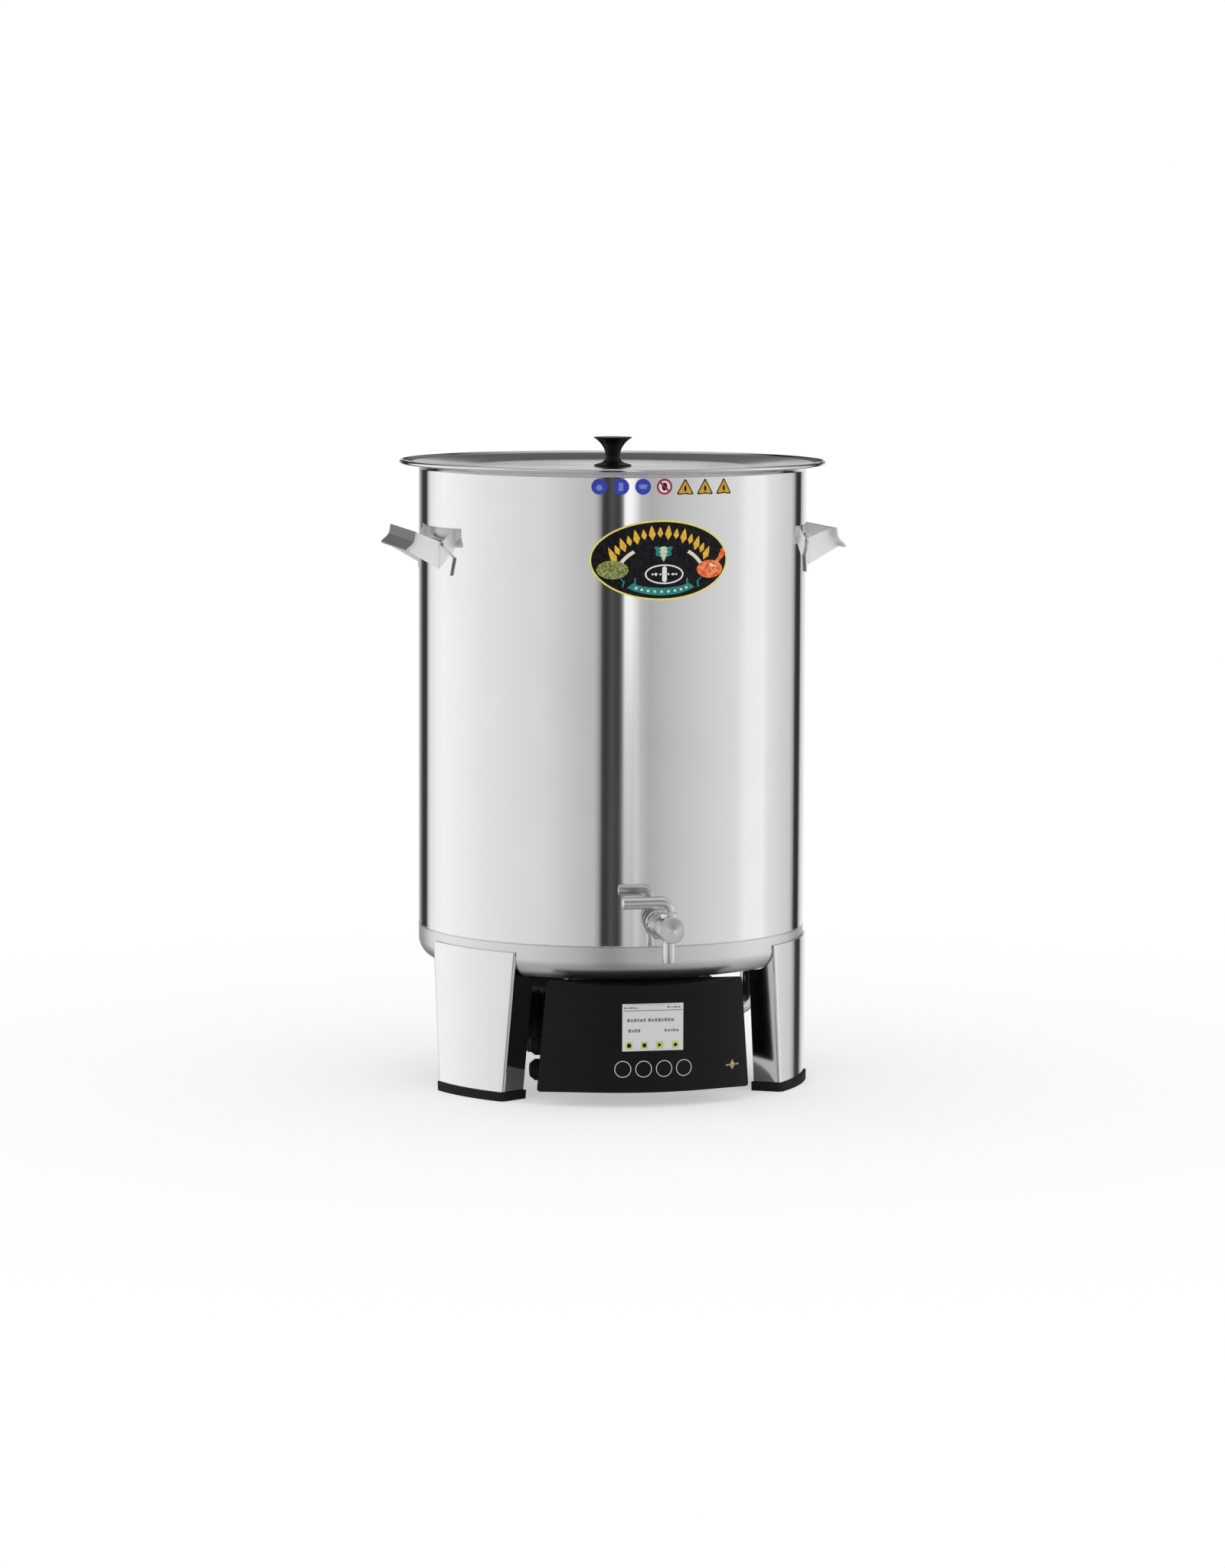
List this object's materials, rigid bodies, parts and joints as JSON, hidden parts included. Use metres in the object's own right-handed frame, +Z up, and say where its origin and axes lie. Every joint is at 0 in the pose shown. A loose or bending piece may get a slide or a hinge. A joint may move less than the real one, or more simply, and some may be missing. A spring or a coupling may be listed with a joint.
{
  "type": "electric all-in-one brewer",
  "caption": "Stainless brewing kettle on channel legs with lid, lift-out malt pipe, heating coil, circulation pumps, draw-off tap and a control unit with display and keys.",
  "frame": {"origin": "on the floor, under the middle of the object's box; the kettle axis stands 20.75 mm behind it", "axes": "+Z up along the kettle axis, -Y to the front (tap and display), +X to the right of a person facing the front"},
  "size_m": [0.4626, 0.4824, 0.6665],
  "materials": {
    "polished_steel": "mirror-polished stainless sheet",
    "brushed_steel": "satin stainless sheet",
    "turned_steel": "turned stainless, fine rings",
    "steel_mesh": "woven stainless cloth",
    "nickel": "plain nickel-plated fittings",
    "black_metal": "matt black coated sheet",
    "black_plastic": "moulded black plastic",
    "knob_plastic": "smooth black plastic",
    "rubber": "black rubber",
    "silicone": "pale silicone",
    "screen": "display behind a clear window",
    "board": "green circuit board",
    "label": "printed oval badge"
  },
  "bodies": {
    "kettle": {"accessory_sockets": "black_plastic", "centre_rod": "turned_steel", "circuit_board": "board", "control_bracket": "nickel", "control_housing": "black_plastic", "control_panel": "black_metal", "display": "screen", "foot_back": "rubber", "foot_left": "rubber", "foot_right": "rubber", "handle_left": "polished_steel", "handle_right": "polished_steel", "heater_flange": "nickel", "heating_coil": "nickel", "kettle_base": "polished_steel", "kettle_wall": "polished_steel", "label_plate": "label", "leg_back": "polished_steel", "leg_left": "polished_steel", "leg_right": "polished_steel", "mains_gland": "black_plastic", "pump_cable_left": "rubber", "pump_cable_right": "rubber", "pump_cover_left": "black_plastic", "pump_cover_right": "black_plastic", "pump_inlet_elbow_left": "polished_steel", "pump_inlet_elbow_right": "polished_steel", "pump_motor_left": "black_plastic", "pump_motor_right": "black_plastic", "pump_outlet_pipe_left": "polished_steel", "pump_outlet_pipe_right": "polished_steel", "pump_union_nut_left": "black_plastic", "pump_union_nut_right": "black_plastic", "pump_volute_left": "black_plastic", "pump_volute_right": "black_plastic", "tap_body": "turned_steel", "tap_end_cap": "turned_steel", "tap_nut": "turned_steel", "tap_socket": "turned_steel", "tap_spout": "turned_steel", "temperature_sensor": "nickel"},
    "lid": {"lid": "polished_steel", "lid_knob": "knob_plastic", "lid_knob_screw": "nickel"},
    "malt_basket": {"malt_pipe": "brushed_steel", "malt_pipe_seal": "silicone", "lower_sieve": "brushed_steel", "lower_fine_screen": "steel_mesh"},
    "upper_filter": {"upper_fine_screen": "steel_mesh", "upper_sieve": "brushed_steel"},
    "hold_down": {"hold_down_bracket": "brushed_steel"},
    "wing_nut": {"wing_nut": "turned_steel"},
    "tap_valve": {"tap_plug": "turned_steel", "tap_lever": "turned_steel"},
    "impeller_left": {"pump_impeller_left": "black_plastic"},
    "impeller_right": {"pump_impeller_right": "black_plastic"},
    "button_1": {"button_1": "black_plastic"},
    "button_2": {"button_2": "black_plastic"},
    "button_3": {"button_3": "black_plastic"},
    "button_4": {"button_4": "black_plastic"}
  },
  "joints": [
    {"name": "malt_pipe_lift", "type": "slide", "parent": "kettle", "child": "malt_basket", "axis": [0, 0, 1], "range_m": [0, 0.51]},
    {"name": "upper_filter_lift", "type": "slide", "parent": "malt_basket", "child": "upper_filter", "axis": [0, 0, 1], "range_m": [0, 0.1]},
    {"name": "hold_down_lift", "type": "slide", "parent": "upper_filter", "child": "hold_down", "axis": [0, 0, 1], "range_m": [0, 0.12]},
    {"name": "wing_nut_spin", "type": "hinge", "parent": "hold_down", "child": "wing_nut", "pos_m": [0, 0.02075, 0.585], "axis": [0, 0, 1], "continuous": true},
    {"name": "lid_lift", "type": "slide", "parent": "hold_down", "child": "lid", "axis": [0, 0, 1], "range_m": [0, 0.2]},
    {"name": "tap_turn", "type": "hinge", "parent": "kettle", "child": "tap_valve", "pos_m": [0, -0.22725, 0.187], "axis": [0, 0, 1], "range_deg": [0, 90]},
    {"name": "pump_spin_left", "type": "hinge", "parent": "kettle", "child": "impeller_left", "pos_m": [-0.09852, 0.04715, 0.062], "axis": [-0.9659, 0.2588, 0], "continuous": true},
    {"name": "pump_spin_right", "type": "hinge", "parent": "kettle", "child": "impeller_right", "pos_m": [0.09852, 0.04715, 0.062], "axis": [0.9659, 0.2588, 0], "continuous": true},
    {"name": "button_1_press", "type": "slide", "parent": "kettle", "child": "button_1", "axis": [0.1891, 0.982, 0], "range_m": [0, 0.0006], "stiffness_N_per_m": 900},
    {"name": "button_2_press", "type": "slide", "parent": "kettle", "child": "button_2", "axis": [0.0758, 0.9971, 0], "range_m": [0, 0.0006], "stiffness_N_per_m": 900},
    {"name": "button_3_press", "type": "slide", "parent": "kettle", "child": "button_3", "axis": [-0.0384, 0.9993, 0], "range_m": [0, 0.0006], "stiffness_N_per_m": 900},
    {"name": "button_4_press", "type": "slide", "parent": "kettle", "child": "button_4", "axis": [-0.1521, 0.9884, 0], "range_m": [0, 0.0006], "stiffness_N_per_m": 900}
  ]
}
